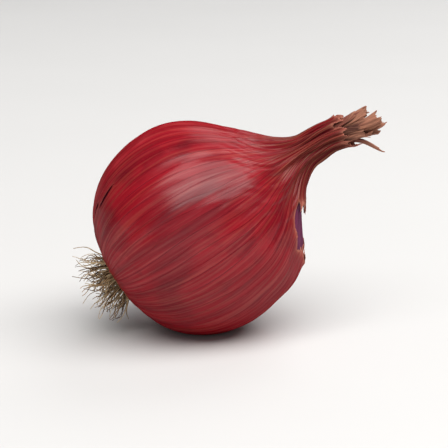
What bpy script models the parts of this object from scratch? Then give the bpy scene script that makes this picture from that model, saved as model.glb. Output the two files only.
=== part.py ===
"""Red onion, cured and trimmed: the bulb in its dry red skin, the dried leaf ends in its neck, and its roots.

It lies tilted on its side: the neck points right (+X) and up, the roots point left and down. The origin is
the middle of the small flat spot that the bulb rests on, +Z is up, and lengths are in metres.

The onion is first modelled straight, with its own axis along +Z and its widest ring at height 0. One
function, onion_form, then gives each point the lobes, pleats and lean of the grown bulb.
"""

import math
import random

import bmesh
import bpy
import numpy as np
from mathutils import Vector
from mathutils.geometry import interpolate_bezier

SEED = 31

# How the onion lies: the rise of its axis above level, and where its widest ring's centre is.
AXIS_RISE = math.radians(33)
BULB_CENTRE = (-0.0010, 0.0, 0.0284)

# The bulb's outline, as radius and height on the onion's own axis.
BULB_RADIUS = 0.0290
ROOT_END = -0.0249
ROOT_RIM_RADIUS = 0.0085
DIMPLE_DEPTH = 0.0010
SHOULDER_RADIUS = 0.0200
SHOULDER = 0.0190
SHOULDER_SLOPE = Vector((-0.700, 0.714))
WAIST_RADIUS = 0.0039
WAIST = 0.0360
MOUTH_RADIUS = 0.0037
MOUTH = 0.0470
SOCKET_RADIUS = 0.0029
SOCKET_FLOOR = 0.0340
COLUMNS = 64

# How the outline passes each of those rings: the handles of its Bezier curve, and the points between rings.
MOUTH_HANDLE = Vector((0.0004, 0.0040))
WAIST_HANDLES = (Vector((-0.0002, 0.0040)), Vector((0.0008, -0.0060)))
SHOULDER_HANDLES = (0.0095, 0.0068)
WIDEST_HANDLES = (Vector((0.0, 0.0090)), Vector((0.0, 0.0130)))
RIM_HANDLES = (Vector((0.0120, 0.0010)), Vector((0.0025, 0.0001)))
DIMPLE_HANDLE = Vector((0.0030, 0.0))
NECK_POINTS = 4
SHOULDER_POINTS = 8
UPPER_POINTS = 7
LOWER_POINTS = 12
DIMPLE_POINTS = 3

# The grown form: how far the bulb is from round, the full cheek at one side of its shoulder, and how the neck
# leans, flattens, twists and pleats.
BULB_LOBES = ((2, 0.012, 0.5), (3, 0.009, 2.1), (7, 0.0035, 1.0))
CHEEK_SWELL = 0.115
CHEEK_TURN = math.radians(-8)
CHEEK_RISE = (0.0060, 0.0205)
CHEEK_FALL = (0.0205, 0.0265)
PLEATS = ((9, 1.0, 0.4), (14, 0.55, 2.1), (5, 0.5, 4.0))
PLEAT_DEPTH = 0.052
NECK_LEAN = 0.0016
NECK_BEND = 0.0400
NECK_DROOP = 0.0016
NECK_SIDESTEP = 0.0010
NECK_WIDE = 1.06
NECK_NARROW = 0.86
NECK_TWIST = 0.5
MOUTH_TEAR = 0.0032

# The torn window in the dry skin: its middle and half sizes as turn about the axis and height.
WINDOW_TURN = math.radians(-8)
WINDOW_HALF_TURN = math.radians(36)
WINDOW_HEIGHT = 0.0232
WINDOW_HALF_HEIGHT = 0.0037
WINDOW_SLANT = -0.0012
WINDOW_POINTS = 32
WINDOW_RINGS = 10
WINDOW_JAG = 0.17
WINDOW_EDGE = 1.05
WINDOW_FLOOR_FROM = -0.1
SKIN_STEP = 0.0005
SKIN_CLEAR = 0.0010

# The flat spot is where a level plane cuts the bulb's underside.
CUTTER_SIZE = 0.08

# The dried leaf ends: a plug that fills the neck's socket, and blades that stand out of it.
GAP = 0.0003
PLUG_TOP = 0.0450
PLUG_TOP_SHARE = 0.6
PLUG_BEVEL = 0.0012
BLADES = 7
BLADE_RADII = (0.0021, 0.0012)
BLADE_ARCS = (math.radians(105), math.radians(150))
BLADE_ROOT = 0.0415
BLADE_TIPS = (0.0510, 0.0562)
BLADE_FLARE = 0.0012
FLARE_START = 0.0476
FLARE_NARROWING = 0.35
BLADE_SHIFT = 0.3
BLADE_RAGGED = 0.0007
BLADE_WAVE = 0.00025
BLADE_WAVES = 5
BLADE_THICKNESS = 0.0007
BLADE_GRID = (6, 7)

# The root tuft: a low corky plate in the dimple, and wiry rootlets.
PLATE_RADIUS = 0.0062
PLATE_HALF_THICKNESS = 0.0011
PLATE_HEIGHT = ROOT_END - 0.0005
ROOTLETS = 46
ROOTLET_THICKNESS = 0.00072
ROOTLET_LENGTHS = (0.0055, 0.0115)
ROOTLET_STEPS = 7
ROOTLET_SPLAY = math.radians(54)
ROOTLET_LEAST_SPLAY = 0.65
ROOTLET_FEET = 0.86
ROOTLET_SUNK = 0.0008
ROOTLET_CURL = 0.0016
ROOTLET_CURL_TURN = 4.0
ROOTLET_THINNING = 0.35
FLOOR_CLEARANCE = 0.0012

SKIN_COLOUR = (0.36, 0.030, 0.040, 1.0)
LEAF_COLOUR = (0.20, 0.075, 0.040, 1.0)
ROOT_COLOUR = (0.36, 0.24, 0.115, 1.0)
SKIN_ROUGHNESS = 0.35
LEAF_ROUGHNESS = 0.7
ROOT_ROUGHNESS = 0.85
SHARP_ANGLE = math.radians(50)


def fade(value, start, full):
    """0 up to start, 1 from full on, and smooth between them."""
    share = min(max((value - start) / (full - start), 0.0), 1.0)
    return share * share * (3 - 2 * share)


def onion_form(point):
    """Where the grown onion has this point of the straight, round one."""
    x, y, z = point
    turn = math.atan2(y, x)
    lobes = sum(size * math.cos(count * (turn - at)) for count, size, at in BULB_LOBES)
    twisted = turn - NECK_TWIST * fade(z, SHOULDER, MOUTH)
    ripple = sum(size * math.cos(count * twisted + at) for count, size, at in PLEATS)
    neck = fade(z, SHOULDER, WAIST)
    facing = (1 + math.cos(turn - CHEEK_TURN)) / 2
    cheek = CHEEK_SWELL * facing**2 * fade(z, *CHEEK_RISE) * (1 - fade(z, *CHEEK_FALL))
    swell = 1 + lobes * (1 - neck) + cheek + PLEAT_DEPTH * ripple * neck
    bend = fade(z, NECK_BEND, BLADE_TIPS[1])
    lean = (NECK_LEAN + NECK_DROOP) * bend - NECK_LEAN * neck
    return Vector(
        (
            x * swell * (1 + (NECK_WIDE - 1) * neck) + lean,
            y * swell * (1 + (NECK_NARROW - 1) * neck) + NECK_SIDESTEP * bend,
            z,
        )
    )


def clear_scene():
    for obj in list(bpy.data.objects):
        bpy.data.objects.remove(obj, do_unlink=True)


def new_collection(name):
    made = bpy.data.collections.new(name)
    bpy.context.scene.collection.children.link(made)
    return made


def new_object(name, data, collection):
    made = bpy.data.objects.new(name, data)
    collection.objects.link(made)
    return made


def new_material(name, colour, roughness):
    made = bpy.data.materials.new(name)
    made.use_nodes = True
    shader = made.node_tree.nodes["Principled BSDF"]
    shader.inputs["Base Color"].default_value = colour
    shader.inputs["Roughness"].default_value = roughness
    shader.inputs["Metallic"].default_value = 0.0
    made.diffuse_color = colour
    return made


def made_real(obj, name, collection):
    """A plain mesh object of what obj's modifiers or bevel give, with its doubles merged; obj is removed."""
    bpy.context.view_layer.update()
    graph = bpy.context.evaluated_depsgraph_get()
    data = bpy.data.meshes.new_from_object(obj.evaluated_get(graph))
    made = new_object(name, data, collection)
    made.matrix_world = obj.matrix_world.copy()
    bpy.data.objects.remove(obj, do_unlink=True)
    shape = bmesh.new()
    shape.from_mesh(data)
    bmesh.ops.remove_doubles(shape, verts=shape.verts, dist=1e-6)
    shape.to_mesh(data)
    shape.free()
    data.name = name
    return made


def turned(name, outline, columns, collection):
    """A solid of revolution about Z. Its outline runs down the outer side as (radius, height) pairs."""
    data = bpy.data.meshes.new(name)
    points = [(radius, 0.0, height) for radius, height in outline]
    data.from_pydata(points, [(i, i + 1) for i in range(len(points) - 1)], [])
    profile = new_object(name + "_profile", data, collection)
    screw = profile.modifiers.new("turn", "SCREW")
    screw.steps = screw.render_steps = columns
    screw.use_merge_vertices = True
    screw.merge_threshold = 1e-5
    return made_real(profile, name, collection)


def grow(obj):
    """Gives every vertex its place on the grown onion."""
    for vertex in obj.data.vertices:
        vertex.co = onion_form(vertex.co)


def arc(start, leaving, arriving, end, count):
    """Points of one Bezier stretch of the outline, without its end."""
    stretch = interpolate_bezier(start, leaving, arriving, end, count + 1)
    return [(point.x, point.y) for point in stretch[:-1]]


def skin_side():
    """The outline of the dry skin, from the neck's mouth down to the rim of the root end."""
    mouth = Vector((MOUTH_RADIUS, MOUTH))
    waist = Vector((WAIST_RADIUS, WAIST))
    shoulder = Vector((SHOULDER_RADIUS, SHOULDER))
    above_shoulder = shoulder + SHOULDER_HANDLES[0] * SHOULDER_SLOPE
    below_shoulder = shoulder - SHOULDER_HANDLES[1] * SHOULDER_SLOPE
    widest = Vector((BULB_RADIUS, 0.0))
    rim = Vector((ROOT_RIM_RADIUS, ROOT_END))
    return [
        *arc(mouth, mouth - MOUTH_HANDLE, waist + WAIST_HANDLES[0], waist, NECK_POINTS),
        *arc(waist, waist + WAIST_HANDLES[1], above_shoulder, shoulder, SHOULDER_POINTS),
        *arc(shoulder, below_shoulder, widest + WIDEST_HANDLES[0], widest, UPPER_POINTS),
        *arc(widest, widest - WIDEST_HANDLES[1], rim + RIM_HANDLES[0], rim, LOWER_POINTS),
    ]


def bulb_outline():
    rim = Vector((ROOT_RIM_RADIUS, ROOT_END))
    dimple = Vector((0.0, ROOT_END + DIMPLE_DEPTH))
    return [
        (0.0, SOCKET_FLOOR),
        (SOCKET_RADIUS, SOCKET_FLOOR),
        (SOCKET_RADIUS, (SOCKET_FLOOR + MOUTH) / 2),
        (SOCKET_RADIUS, MOUTH),
        *skin_side(),
        *arc(rim, rim - RIM_HANDLES[1], dimple + DIMPLE_HANDLE, dimple, DIMPLE_POINTS),
        (dimple.x, dimple.y),
    ]


def window_cutter(collection):
    """A lens along the dry skin with the torn window's ragged outline: its inside lies a skin's step deep."""
    chance = random.Random(SEED)
    draw = [chance.uniform(1 - WINDOW_JAG, 1 + WINDOW_JAG) for _ in range(WINDOW_POINTS)]
    radii, heights = zip(*reversed(skin_side()))
    slopes = np.gradient(radii, heights)
    shape = bmesh.new()
    bmesh.ops.create_uvsphere(shape, u_segments=WINDOW_POINTS, v_segments=WINDOW_RINGS, radius=1.0)
    for vertex in shape.verts:
        x, y, z = vertex.co
        column = round(math.atan2(y, x) / math.tau * WINDOW_POINTS) % WINDOW_POINTS
        flat = math.hypot(x, y)
        spread = draw[column] * min(WINDOW_EDGE, 1 / max(flat, 0.1))
        turn = WINDOW_TURN + WINDOW_HALF_TURN * x * spread
        height = WINDOW_HEIGHT + (WINDOW_HALF_HEIGHT * y + WINDOW_SLANT * x) * spread
        step = SKIN_CLEAR if z > WINDOW_FLOOR_FROM else -SKIN_STEP
        outward = Vector((1.0, -float(np.interp(height, heights, slopes)))).normalized()
        radius = float(np.interp(height, heights, radii)) + step * outward.x
        vertex.co = (radius * math.cos(turn), radius * math.sin(turn), height + step * outward.y)
    data = bpy.data.meshes.new("window_cutter")
    shape.to_mesh(data)
    shape.free()
    cutter = new_object("window_cutter", data, collection)
    grow(cutter)
    return cutter


def tear_mouth(obj):
    """Makes the mouth of the neck ragged: each column of its rim ends lower by its own draw."""
    chance = random.Random(SEED + 1)
    draw = [chance.random() for _ in range(COLUMNS)]
    for vertex in obj.data.vertices:
        column = round(math.atan2(vertex.co.y, vertex.co.x) / math.tau * COLUMNS) % COLUMNS
        near_mouth = fade(vertex.co.z, (WAIST + MOUTH) / 2, MOUTH)
        vertex.co.z -= MOUTH_TEAR * draw[column] * near_mouth


def floor_cutter(collection):
    """A block below the level that the onion rests on."""
    shape = bmesh.new()
    bmesh.ops.create_cube(shape, size=CUTTER_SIZE)
    data = bpy.data.meshes.new("floor_cutter")
    shape.to_mesh(data)
    shape.free()
    cutter = new_object("floor_cutter", data, collection)
    cutter.location.z = -CUTTER_SIZE / 2
    return cutter


def make_bulb(collection, cutters, axis):
    bulb = turned("bulb", bulb_outline(), COLUMNS, collection)
    tear_mouth(bulb)
    grow(bulb)
    window_cutter(cutters).parent = axis
    floor_cutter(cutters)
    for cutter in cutters.objects:
        cutter.hide_render = True
        cutter.display_type = "WIRE"
        cut = bulb.modifiers.new(cutter.name, "BOOLEAN")
        cut.operation = "DIFFERENCE"
        cut.solver = "EXACT"
        cut.object = cutter
    return bulb


def fuse(name, base, pieces, collection):
    """Joins base and every object of the pieces collection in one solid by a union, and removes them."""
    union = base.modifiers.new("fuse", "BOOLEAN")
    union.operation = "UNION"
    union.solver = "MANIFOLD"
    union.operand_type = "COLLECTION"
    union.collection = pieces
    made = made_real(base, name, collection)
    for piece in list(pieces.objects):
        bpy.data.objects.remove(piece, do_unlink=True)
    bpy.data.collections.remove(pieces)
    return made


def make_blade(index, collection):
    """One dried leaf end: a thin curved strip in the neck that flares a little past the mouth."""
    chance = random.Random(SEED + 100 + index)
    radius = BLADE_RADII[index % 2]
    width = BLADE_ARCS[index % 2]
    middle = math.tau * index / BLADES + chance.uniform(-BLADE_SHIFT, BLADE_SHIFT)
    tip = chance.uniform(*BLADE_TIPS)
    flare = BLADE_FLARE * chance.uniform(0.1, 1.0)
    wave = chance.uniform(0, math.tau)
    ragged = [chance.uniform(-1, 1) for _ in range(BLADE_GRID[0] + 1)]
    shape = bmesh.new()
    bmesh.ops.create_grid(shape, x_segments=BLADE_GRID[0], y_segments=BLADE_GRID[1], size=0.5)
    for vertex in shape.verts:
        across, along = vertex.co.x, vertex.co.y + 0.5
        column = round((across + 0.5) * BLADE_GRID[0])
        height = BLADE_ROOT + (tip - BLADE_ROOT + BLADE_RAGGED * ragged[column]) * along
        past = fade(height, FLARE_START, tip)
        turn = middle + width * across * (1 - FLARE_NARROWING * past)
        ruffle = BLADE_WAVE * math.sin(wave + BLADE_WAVES * across * math.pi)
        out = radius + (flare + ruffle) * past
        vertex.co = (out * math.cos(turn), out * math.sin(turn), height)
    bmesh.ops.triangulate(shape, faces=shape.faces)
    data = bpy.data.meshes.new("blade")
    shape.to_mesh(data)
    shape.free()
    sheet = new_object("blade_sheet", data, collection)
    thick = sheet.modifiers.new("thick", "SOLIDIFY")
    thick.thickness = BLADE_THICKNESS
    thick.offset = 0.0
    return made_real(sheet, f"blade_{index}", collection)


def make_neck_leaves(collection):
    radius = SOCKET_RADIUS - GAP
    floor = SOCKET_FLOOR + GAP
    outline = [
        (0.0, PLUG_TOP),
        (PLUG_TOP_SHARE * radius, PLUG_TOP),
        (radius, PLUG_TOP - PLUG_BEVEL),
        (radius, (PLUG_TOP + floor) / 2),
        (radius, floor),
        (0.0, floor),
    ]
    plug = turned("plug", outline, COLUMNS // 2, collection)
    pieces = new_collection("blades")
    for index in range(BLADES):
        make_blade(index, pieces)
    leaves = fuse("neck_leaves", plug, pieces, collection)
    grow(leaves)
    return leaves


def lifted(point):
    """The point, raised along the world's up where the lying onion would put it in the floor."""
    low = (
        BULB_CENTRE[2]
        + point.z * math.sin(AXIS_RISE)
        - point.x * math.cos(AXIS_RISE)
    )
    lift = max(0.0, FLOOR_CLEARANCE + ROOTLET_THICKNESS - low)
    return point + lift * Vector((-math.cos(AXIS_RISE), 0.0, math.sin(AXIS_RISE)))


def rootlet_path(index, chance):
    """Points of one rootlet. Their feet fill the plate in a sunflower's order, and outer ones splay more."""
    share = math.sqrt((index + 0.5) / ROOTLETS)
    turn = index * math.pi * (3 - math.sqrt(5))
    outward = Vector((math.cos(turn), math.sin(turn), 0.0))
    foot = ROOTLET_FEET * PLATE_RADIUS * share
    depth = PLATE_HALF_THICKNESS * math.sqrt(1 - (foot / PLATE_RADIUS) ** 2)
    start = outward * foot + Vector((0.0, 0.0, PLATE_HEIGHT - depth))
    splay = ROOTLET_SPLAY * share * chance.uniform(ROOTLET_LEAST_SPLAY, 1.0)
    heading = outward * math.sin(splay) - Vector((0.0, 0.0, math.cos(splay)))
    side = heading.cross(Vector((math.sin(3 * turn), math.cos(5 * turn), 0.4))).normalized()
    length = chance.uniform(*ROOTLET_LENGTHS)
    phase = chance.uniform(0, math.tau)
    points = [start - heading * ROOTLET_SUNK]
    for step in range(1, ROOTLET_STEPS):
        along = step / (ROOTLET_STEPS - 1)
        curl = ROOTLET_CURL * along * math.sin(phase + ROOTLET_CURL_TURN * along)
        points.append(lifted(start + heading * length * along + side * curl))
    return points


def make_rootlet(index, chance, collection):
    """A wiry dry rootlet: a four-sided tube that thins to its tip."""
    points = rootlet_path(index, chance)
    data = bpy.data.curves.new("rootlet", "CURVE")
    data.dimensions = "3D"
    data.bevel_depth = ROOTLET_THICKNESS / 2
    data.bevel_resolution = 0
    data.use_fill_caps = True
    spline = data.splines.new("POLY")
    spline.points.add(len(points) - 1)
    for step, point in enumerate(points):
        spline.points[step].co = (*point, 1.0)
        spline.points[step].radius = 1.0 - ROOTLET_THINNING * step / (len(points) - 1)
    return made_real(new_object("rootlet_line", data, collection), f"rootlet_{index}", collection)


def make_roots(collection):
    shape = bmesh.new()
    bmesh.ops.create_uvsphere(shape, u_segments=20, v_segments=10, radius=PLATE_RADIUS)
    data = bpy.data.meshes.new("plate")
    shape.to_mesh(data)
    shape.free()
    plate = new_object("plate", data, collection)
    for vertex in data.vertices:
        vertex.co.z = PLATE_HEIGHT + vertex.co.z * PLATE_HALF_THICKNESS / PLATE_RADIUS
    pieces = new_collection("rootlets")
    chance = random.Random(SEED + 2)
    for index in range(ROOTLETS):
        make_rootlet(index, chance, pieces)
    return fuse("roots", plate, pieces, collection)


def finish(obj, axis, colour, roughness):
    """Puts the piece on the onion's axis, and gives it its material and smooth shading."""
    obj.parent = axis
    obj.data.materials.clear()
    obj.data.materials.append(new_material(obj.name, colour, roughness))
    obj.data.shade_smooth()
    obj.data.set_sharp_from_angle(angle=SHARP_ANGLE)


def main():
    clear_scene()
    parts = new_collection("red_onion")
    cutters = new_collection("cutters")
    axis = new_object("onion_axis", None, parts)
    axis.location = BULB_CENTRE
    axis.rotation_euler.y = math.pi / 2 - AXIS_RISE
    finish(make_bulb(parts, cutters, axis), axis, SKIN_COLOUR, SKIN_ROUGHNESS)
    finish(make_neck_leaves(parts), axis, LEAF_COLOUR, LEAF_ROUGHNESS)
    finish(make_roots(parts), axis, ROOT_COLOUR, ROOT_ROUGHNESS)


main()
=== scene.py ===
"""The looks of the red onion: dry papery skin torn at one side, the glossy purple scale under it, dried leaf
ends in a pleated neck, a corky root plate and fine roots, on a pale floor in soft light.

It is laid out as an add-on and is run as a script. Every piece is shaped straight, on an axis along +Z, as
turn about that axis and climb along the skin's outline. on_onion then puts it where the grown, tilted onion
has it. Lengths are in metres.
"""

import math

import bmesh
import bpy
import numpy as np
from bpy.props import FloatProperty, FloatVectorProperty, IntProperty, PointerProperty
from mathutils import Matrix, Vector, noise
from mathutils.geometry import interpolate_bezier
from mathutils.kdtree import KDTree


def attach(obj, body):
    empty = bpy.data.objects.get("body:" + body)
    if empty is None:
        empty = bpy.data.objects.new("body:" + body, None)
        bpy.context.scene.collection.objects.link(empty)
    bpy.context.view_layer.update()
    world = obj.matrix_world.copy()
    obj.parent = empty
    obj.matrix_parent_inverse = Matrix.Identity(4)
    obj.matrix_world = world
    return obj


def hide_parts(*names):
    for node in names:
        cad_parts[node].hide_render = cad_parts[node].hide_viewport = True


bl_info = {
    "name": "Red onion looks",
    "version": (1, 0, 0),
    "blender": (4, 5, 0),
    "location": "3D View > Sidebar > Onion",
    "description": "Dresses the packed red onion in its skin, scale, leaf ends and roots",
    "category": "Object",
}

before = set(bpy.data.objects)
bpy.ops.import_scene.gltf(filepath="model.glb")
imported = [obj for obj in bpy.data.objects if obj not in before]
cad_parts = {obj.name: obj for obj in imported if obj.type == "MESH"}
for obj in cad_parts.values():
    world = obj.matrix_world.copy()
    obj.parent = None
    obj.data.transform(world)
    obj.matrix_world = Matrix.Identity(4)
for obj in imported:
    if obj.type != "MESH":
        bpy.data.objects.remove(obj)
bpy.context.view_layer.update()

SEED = 31

# How the onion lies, and the outline of its skin as radius and height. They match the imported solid.
AXIS_RISE = math.radians(33)
BULB_CENTRE = np.array((-0.0010, 0.0, 0.0284))
BULB_RADIUS = 0.0290
ROOT_END = -0.0249
ROOT_RIM_RADIUS = 0.0085
DIMPLE_DEPTH = 0.0010
SHOULDER_RADIUS = 0.0200
SHOULDER = 0.0190
SHOULDER_SLOPE = Vector((-0.700, 0.714))
WAIST_RADIUS = 0.0039
WAIST = 0.0360
MOUTH_RADIUS = 0.0037
MOUTH = 0.0470
NECK_TIP = 0.0562

# How the outline passes each of those rings: the handles of its Bezier curve, which at the shoulder lie along
# its slope.
MOUTH_HANDLE = Vector((0.0004, 0.0040))
WAIST_HANDLES = (Vector((-0.0002, 0.0040)), Vector((0.0008, -0.0060)))
SHOULDER_HANDLES = (0.0095, 0.0068)
WIDEST_HANDLES = (Vector((0.0, 0.0090)), Vector((0.0, 0.0130)))
RIM_HANDLES = (Vector((0.0120, 0.0010)), Vector((0.0025, 0.0001)))
DIMPLE_HANDLE = Vector((0.0030, 0.0))

# The grown form: lobes of the bulb, the full cheek at one side of its shoulder, then lean, width, twist and
# pleats of the neck.
BULB_LOBES = ((2, 0.012, 0.5), (3, 0.009, 2.1), (7, 0.0035, 1.0))
CHEEK_SWELL = 0.115
CHEEK_TURN = math.radians(-8)
CHEEK_RISE = (0.0060, 0.0205)
CHEEK_FALL = (0.0205, 0.0265)
PLEATS = ((9, 1.0, 0.4), (14, 0.55, 2.1), (5, 0.5, 4.0))
NECK_LEAN = 0.0016
NECK_BEND = 0.0400
NECK_DROOP = 0.0016
NECK_SIDESTEP = 0.0010
NECK_WIDE = 1.06
NECK_NARROW = 0.86
NECK_TWIST = 0.5

# The skin's ends: it starts ragged round the root plate, and is cut off ragged round the neck's mouth, past
# which it draws in a little. Jags are pairs of spacing round the onion and size.
SKIN_START = 0.0074
START_JAGS = ((0.14, 0.0009), (0.05, 0.0005))
MOUTH_JAGS = ((0.40, 0.0026), (0.10, 0.0013))
PAST_MOUTH = 0.0040
PAST_MOUTH_TAPER = 0.12

# Tears in the dry skin: turn and height of the middle, half sizes of both, slant, and how jagged the edge is.
# The sizes of their jags are shares of that, and the sides wander by a share of the half turn.
TEARS = (
    (math.radians(-8), 0.0232, math.radians(36), 0.0037, -0.0012, 0.0012),
    (math.radians(118), 0.0120, math.radians(5), 0.0052, 0.0030, 0.0014),
    (math.radians(70), -0.0185, math.radians(7), 0.0030, 0.0, 0.0012),
)
TEAR_JAGS = ((0.055, 1.0), (0.02, 0.4))
TEAR_SIDE_JAGS = ((0.004, 0.25),)
TORN_EDGE = 0.0005

# Slits along the skin's fibres: turn and height of the middle, and half sizes of both. Their straight sides
# are drawn together towards the ends, and the edges lie flat. How far that reaches is in half sizes.
SLITS = (
    (math.radians(-148.5), -0.0136, math.radians(1.0), 0.0034),
    (math.radians(-152.5), -0.0186, math.radians(1.0), 0.0022),
)
SLIT_PINCH = 0.96
SLIT_PINCHED = (4.0, 1.3)
SLIT_FLAT = (8.0, 1.8)
SLIT_FLATTER = 0.6
SLIT_DARKER = 0.9

# Relief of the skin over the bulb. Ribs are how many round it, height, start and drift along it, and so are
# the neck's wrinkles. The rest is a height, and a grain as how fine it is across and along the fibres.
BODY_END = 0.72
NECK_FROM = 0.60
NECK_FULL = 0.80
RIBS = ((17, 0.00007, 0.3, 1.0), (26, 0.00005, 1.9, -1.4), (41, 0.00003, 4.0, 2.0))
NECK_WRINKLES = ((22, 0.00034, 0.2, 3.0), (34, 0.00026, 1.3, -5.0), (52, 0.00016, 2.9, 9.0))
LUMP_HEIGHT = 0.00034
LUMP_GRAIN = (2.6, 42)
CREASE_HEIGHT = 0.00012
CREASE_GRAIN = (7.0, 55)
CRINKLE_HEIGHT = 0.00007
CRINKLE_GRAIN = (13.0, 190)
RIDGE_HEIGHT = 0.00006
RIDGE_GRAIN = (30.0, 70)
FLOOR_GAP = 0.00002

# Torn edges curl up by an uneven share of the lift, and more steeply close to the edge.
LIFT_GRAIN = (9.0, 300)
LIFT_MIDDLE = 0.75
LIFT_UNEVEN = 0.9
LIFT_STEEPNESS = 1.5

# The scale ends in the neck at a share of the waist's height, and lies deeper there, clear of the wrinkles.
SCALE_TOP = 0.9
SCALE_PLEATS = 0.09
NECK_CLEARANCE = 0.0003
CLEARANCE_FROM = 0.66
CLEARANCE_FULL = 0.76

# The dried leaf ends stand in three rings in the neck, from the outer one in. Past the mouth each narrows,
# skews, flares, waves and rolls by chance, and the outer ones underneath hang down.
LEAF_FACES = (28, 36)
LEAF_FOOT = 0.0380
LEAF_RADII = (0.0027, 0.0019, 0.0011)
LEAF_WIDTHS = (math.radians(56), math.radians(76), math.radians(110))
LEAF_WIDTH_SPREAD = (0.75, 1.1)
LEAF_TURN_SPREAD = 0.4
LEAF_SHORTER = 0.0065
LEAF_JAGS = ((0.24, 0.0013), (0.06, 0.0007))
LEAF_FREE = MOUTH - 0.002
LEAF_NARROWING = 0.35
LEAF_SKEW = 0.7
LEAF_RIB_HEIGHT = 0.00022
LEAF_RIB_COUNTS = (14, 22)
LEAF_RIB_WANDER = (1.5, 150)
LEAF_WAVE_HEIGHT = 0.00034
LEAF_WAVE_COUNTS = (5, 9)
LEAF_WAVE_DRIFT = 340
LEAF_WAVE_IN_NECK = 0.2
LEAF_FLARE = (0.0002, 0.0020)
LEAF_ROLL = (-0.0050, 0.0020)
LEAF_ROLL_LEVEL = 0.06
LEAF_ROLL_IN_NECK = 0.3
LEAF_HANG = 0.0045
LEAF_LEAST_HANG = 0.3
LEAF_PLEATS = 0.06
LEAF_TIP_EDGE = 300
LEAF_TIP_STEEPNESS = 4

# The corky root plate is a flattened ball, lobed round its rim, with faint rings underneath.
PLATE_SEGMENTS = 96
PLATE_RINGS = 40
PLATE_HEIGHT = ROOT_END - 0.0005
PLATE_FLATNESS = 0.17
PLATE_LOBES = ((7, 0.035, 1.0), (17, 0.02, 0.0))
PLATE_RING_HEIGHT = 0.00012
PLATE_RING_COUNT = 26
PLATE_ROUGHNESS = 0.00022
PLATE_GRAIN = 900
PLATE_SHADE = 0.35
PLATE_SHADE_SPREAD = 0.3

# Rootlets splay out from the plate, bow and kink by chance, thin towards the tip and keep off the floor. The
# side that each bows to turns with its place.
GOLDEN_TURN = math.pi * (3 - math.sqrt(5))
ROOTLET_STEPS = 12
ROOTLET_LENGTHS = (0.0045, 0.0120)
ROOTLET_FEET = 0.90
ROOTLET_SUNK = 0.0002
ROOTLET_SPLAY = math.radians(54)
ROOTLET_LEAST_SPLAY = 0.5
ROOTLET_SIDE_TURNS = (3, 5)
ROOTLET_SIDE_RISE = 0.4
ROOTLET_BOW = 0.0016
ROOTLET_BOW_TURNS = (2, 5)
ROOTLET_BOW_GROWTH = 1.4
ROOTLET_KINK = 0.0007
ROOTLET_KINK_TURNS = (7, 13)
ROOTLET_LEAST_THICKNESS = 0.65
ROOTLET_THINNING = 0.6
ROOTLET_TAPER = 1.3
ROOTLET_LOWEST = 0.0008
ROOTLET_EASING = 0.003

# The finishes. Noise on the skin is how fine it is round the onion and along it, its detail and its
# distortion. Noise in space has one fineness. A pair is where a noise starts to show and where it shows in
# full. Stops are a place on a ramp and a colour of the settings. Layers are a noise, its pair, a strength and
# a colour.
SKIN_SHADER = {"Coat Roughness": 0.29, "Specular IOR Level": 0.0}
SKIN_BANDS = (3.4, 1.6, 3.0, 0.6)
SKIN_STREAKS = (11.0, 2.4, 3.0, 0.4)
SKIN_FIBRES = (42.0, 5.0, 2.0)
SKIN_CRINKLES = (20.0, 26.0, 4.0, 0.8)
SKIN_BLOTCHES = (130.0, 3.0, 0.4)
SKIN_CLOUD = (42.0, 1.0)
SKIN_MOTTLE = (900.0, 2.0)
SKIN_STOPS = ((0.30, "deep"), (0.48, "crimson"), (0.60, "crimson"), (0.72, "rose"))
SKIN_LAYERS = (
    ("cloud", 0.50, 0.40, 0.45, "deep"),
    ("streaks", 0.50, 0.72, 0.45, "rose"),
    ("streaks", 0.50, 0.30, 0.50, "deep"),
    ("fibres", 0.45, 0.70, 0.22, "copper"),
)
SKIN_SPECKS = (("mottle", 0.55, 0.75, 0.10, "rose"),)
ROOT_END_LAYERS = (("along", 0.16, 0.08, 0.60, "straw"),)

# Weights: of bands and blotches in the skin's tone, of bands, mottle, torn edges and dry neck in its
# roughness, and of veins, fibres, crinkles and mottle in its relief.
SKIN_TONE = (0.55, 0.45)
SKIN_ROUGHNESS = 0.33
SKIN_ROUGHER = (0.12, 0.12, 0.20, 0.20)
SKIN_RELIEF = (0.35, 0.25, 0.30, 0.06)
SKIN_RELIEF_DEPTH = 0.00030

# Veins wander by a count of veins, and the hairs between them by more. Widths are shares of their spacing.
VEIN_WANDER = (4.0, 3.0, 1.0)
VEIN_WANDER_SIZE = 2.2
VEIN_WIDTH = 0.10
VEIN_SHOWS = (0.42, 0.66)
VEIN_LEAST = 0.15
VEIN_MORE = 0.45
HAIRS_PER_VEIN = 3
HAIR_WANDER = 1.6
HAIR_WIDTH = 0.16
HAIR_SHOWS = (0.40, 0.60)
HAIR_STRENGTH = 0.28

# A band of painted shade across the front of the bulb, along the skin's fibres: the turn of its middle,
# counted from the sheet's seam, half its width, and the shares of the outline where it starts and ends.
SHADE_BAND_TURN = math.radians(71)
SHADE_BAND_HALF_TURN = math.radians(22)
SHADE_BAND_SHOWS = (0.35, 0.50)
SHADE_BAND_START = (0.30, 0.42)
SHADE_BAND_END = (0.60, 0.52)

# The skin dries, darkens and roughens towards the neck, with straw and red strips, and pales at torn edges.
NECK_DRIES = (0.72, 0.92)
NECK_DRIES_UNEVEN = 0.12
NECK_DARKER = 0.82
NECK_STRAWS = (0.46, 0.60)
NECK_STRAW = 0.70
NECK_REDS = (0.52, 0.64)
NECK_RED = 0.45
NECK_ROUGHENS = (0.62, 0.85)
EDGE_LEAST = 0.35
EDGE_MORE = 0.60

# The skin's sheen, and how much duller it is where the skin is dry, at torn edges and along veins.
SHEEN_SHOWS = (0.36, 0.64)
SHEEN_LEAST = 0.56
SHEEN_MORE = 0.36
DRY_DULLER = 0.85
EDGE_DULLER = 0.60
VEIN_DULLER = 0.30

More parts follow.
